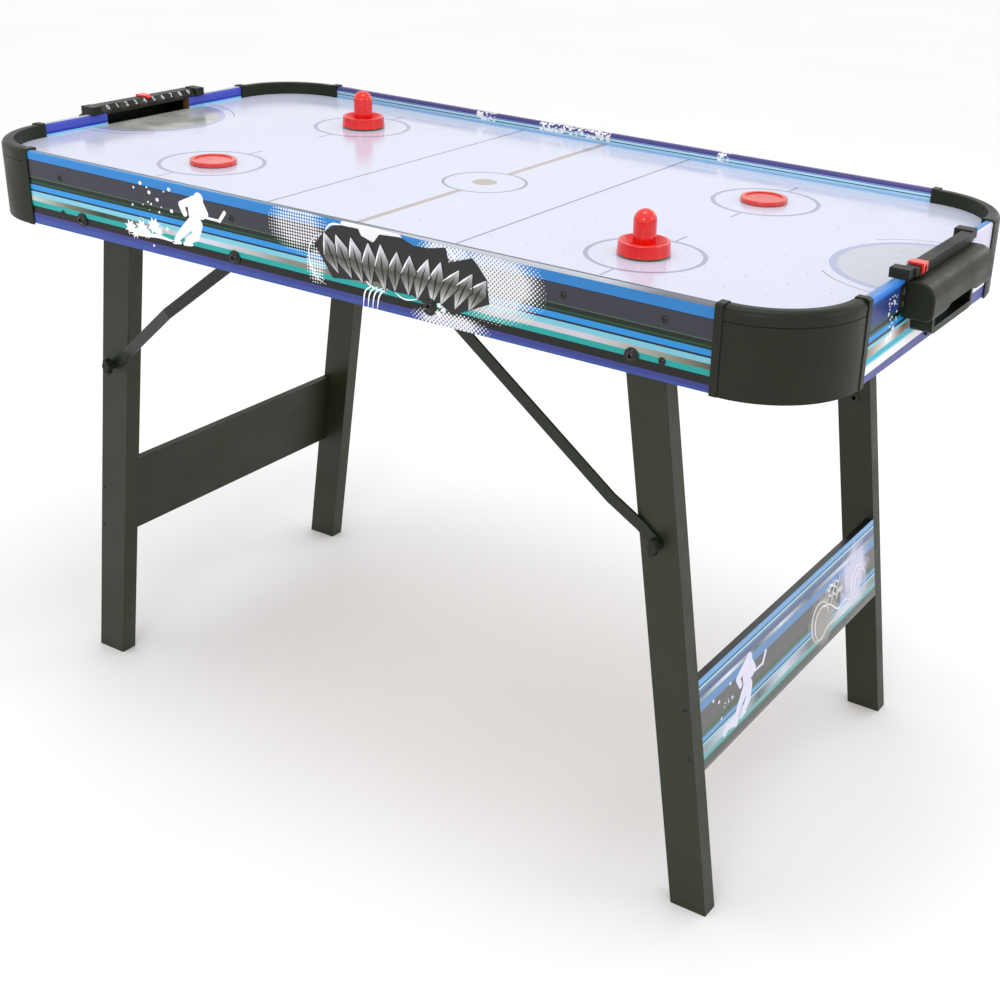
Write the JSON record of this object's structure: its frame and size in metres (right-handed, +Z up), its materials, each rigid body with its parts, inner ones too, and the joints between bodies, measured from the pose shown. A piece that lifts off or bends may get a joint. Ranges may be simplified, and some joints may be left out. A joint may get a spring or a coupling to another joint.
{
  "type": "air hockey table",
  "caption": "Folding air hockey table: striped aprons with black corner caps, perforated field over a blower plenum, goal boxes, score rails, splayed braced legs, pushers and pucks.",
  "frame": {"origin": "on the floor, under the centre of the table", "axes": "+X along the table towards the right goal, +Y towards the rear apron, +Z up"},
  "size_m": [1.29, 0.6206, 0.7974],
  "materials": {
    "apron": "printed film over fibreboard",
    "legs": "black film over fibreboard",
    "panel_print": "printed film over fibreboard",
    "panel_black": "black film over fibreboard",
    "field": "glossy white film over hardboard",
    "board": "raw hardboard",
    "softwood": "sawn",
    "black_plastic": "fine moulded texture",
    "red_plastic": "polished",
    "red_clip": "moulded",
    "felt": "pressed felt",
    "brace_steel": "satin black",
    "bolts": "dark nickel",
    "zinc": "zinc plated",
    "motor_steel": "drawn can",
    "switch_plastic": "moulded",
    "wire": "matt insulation"
  },
  "bodies": {
    "table": {"apron_screws": "bolts", "blower_grille": "black_plastic", "blower_housing": "black_plastic", "blower_lead": "wire", "blower_motor": "motor_steel", "blower_screws": "zinc", "bolt_washers": "bolts", "brace_bolts": "bolts", "corner_cap_front_left": "black_plastic", "corner_cap_front_right": "black_plastic", "corner_cap_rear_left": "black_plastic", "corner_cap_rear_right": "black_plastic", "front_apron": "apron", "goal_box_screws": "bolts", "hinge_bolts": "bolts", "hinge_bushes": "zinc", "left_end_apron": "apron", "left_goal_box": "black_plastic", "left_score_rail": "black_plastic", "leg_stop_blocks": "softwood", "pivot_nuts": "zinc", "play_field": "field", "plenum_battens": "softwood", "plenum_tray": "board", "power_inlet": "switch_plastic", "rear_apron": "apron", "right_end_apron": "apron", "right_goal_box": "black_plastic", "right_score_rail": "black_plastic", "support_cleats": "softwood", "switch_body": "switch_plastic"},
    "left_legs": {"left_front_leg": "legs", "left_rear_leg": "legs", "left_leg_inserts": "zinc", "left_panel_screws": "bolts", "left_cross_panel": "panel_black"},
    "right_legs": {"right_front_leg": "legs", "right_rear_leg": "legs", "right_leg_inserts": "zinc", "right_panel_screws": "bolts", "right_cross_panel": "panel_print"},
    "score_slider_left": {"left_score_slider": "red_clip"},
    "score_slider_right": {"right_score_slider": "red_clip"},
    "pusher_left": {"left_pusher": "red_plastic", "left_pusher_felt": "felt"},
    "pusher_right": {"right_pusher": "red_plastic", "right_pusher_felt": "felt"},
    "puck_left": {"left_puck": "red_plastic"},
    "puck_right": {"right_puck": "red_plastic"},
    "impeller": {"blower_impeller": "black_plastic"},
    "rocker": {"switch_rocker": "switch_plastic"},
    "brace_front_left": {"left_front_brace": "brace_steel"},
    "knob_front_left": {"left_front_knob": "black_plastic"},
    "brace_rear_left": {"left_rear_brace": "brace_steel"},
    "knob_rear_left": {"left_rear_knob": "black_plastic"},
    "brace_front_right": {"right_front_brace": "brace_steel"},
    "knob_front_right": {"right_front_knob": "black_plastic"},
    "brace_rear_right": {"right_rear_brace": "brace_steel"},
    "knob_rear_right": {"right_rear_knob": "black_plastic"}
  },
  "joints": [
    {"name": "left_legs_fold", "type": "hinge", "parent": "table", "child": "left_legs", "pos_m": [-0.4025, 0, 0.6885], "axis": [0, -1, 0], "range_deg": [0, 98.4]},
    {"name": "right_legs_fold", "type": "hinge", "parent": "table", "child": "right_legs", "pos_m": [0.4025, 0, 0.6885], "axis": [0, 1, 0], "range_deg": [0, 96]},
    {"name": "brace_front_left_swing", "type": "hinge", "parent": "table", "child": "brace_front_left", "pos_m": [-0.1445, -0.2907, 0.6885], "axis": [0, 1, 0], "range_deg": [0, 30]},
    {"name": "knob_front_left_turn", "type": "hinge", "parent": "brace_front_left", "child": "knob_front_left", "pos_m": [-0.4347, -0.29, 0.472], "axis": [0, -1, 0], "continuous": true},
    {"name": "brace_rear_left_swing", "type": "hinge", "parent": "table", "child": "brace_rear_left", "pos_m": [-0.1445, 0.2907, 0.6885], "axis": [0, 1, 0], "range_deg": [0, 30]},
    {"name": "knob_rear_left_turn", "type": "hinge", "parent": "brace_rear_left", "child": "knob_rear_left", "pos_m": [-0.4347, 0.29, 0.472], "axis": [0, 1, 0], "continuous": true},
    {"name": "brace_front_right_swing", "type": "hinge", "parent": "table", "child": "brace_front_right", "pos_m": [0.1445, -0.2907, 0.6885], "axis": [0, -1, 0], "range_deg": [0, 30]},
    {"name": "knob_front_right_turn", "type": "hinge", "parent": "brace_front_right", "child": "knob_front_right", "pos_m": [0.4347, -0.29, 0.472], "axis": [0, -1, 0], "continuous": true},
    {"name": "brace_rear_right_swing", "type": "hinge", "parent": "table", "child": "brace_rear_right", "pos_m": [0.1445, 0.2907, 0.6885], "axis": [0, -1, 0], "range_deg": [0, 30]},
    {"name": "knob_rear_right_turn", "type": "hinge", "parent": "brace_rear_right", "child": "knob_rear_right", "pos_m": [0.4347, 0.29, 0.472], "axis": [0, 1, 0], "continuous": true},
    {"name": "score_slide_left", "type": "slide", "parent": "table", "child": "score_slider_left", "axis": [0, 1, 0], "range_m": [-0.085, 0.075]},
    {"name": "score_slide_right", "type": "slide", "parent": "table", "child": "score_slider_right", "axis": [0, 1, 0], "range_m": [-0.01, 0.15]},
    {"name": "pusher_left_glide", "type": "slide", "parent": "table", "child": "pusher_left", "axis": [1, 0, 0], "range_m": [-0.235, 0.29]},
    {"name": "pusher_right_glide", "type": "slide", "parent": "table", "child": "pusher_right", "axis": [1, 0, 0], "range_m": [-0.29, 0.235]},
    {"name": "puck_left_glide", "type": "slide", "parent": "table", "child": "puck_left", "axis": [1, 0, 0], "range_m": [-0.235, 0.29]},
    {"name": "puck_right_glide", "type": "slide", "parent": "table", "child": "puck_right", "axis": [1, 0, 0], "range_m": [-0.29, 0.235]},
    {"name": "impeller_spin", "type": "hinge", "parent": "table", "child": "impeller", "pos_m": [-0.3, 0, 0.7], "axis": [0, 0, 1], "continuous": true},
    {"name": "rocker_press", "type": "hinge", "parent": "table", "child": "rocker", "pos_m": [0.01, 0.305, 0.692], "axis": [1, 0, 0], "range_deg": [-14, 0]}
  ]
}
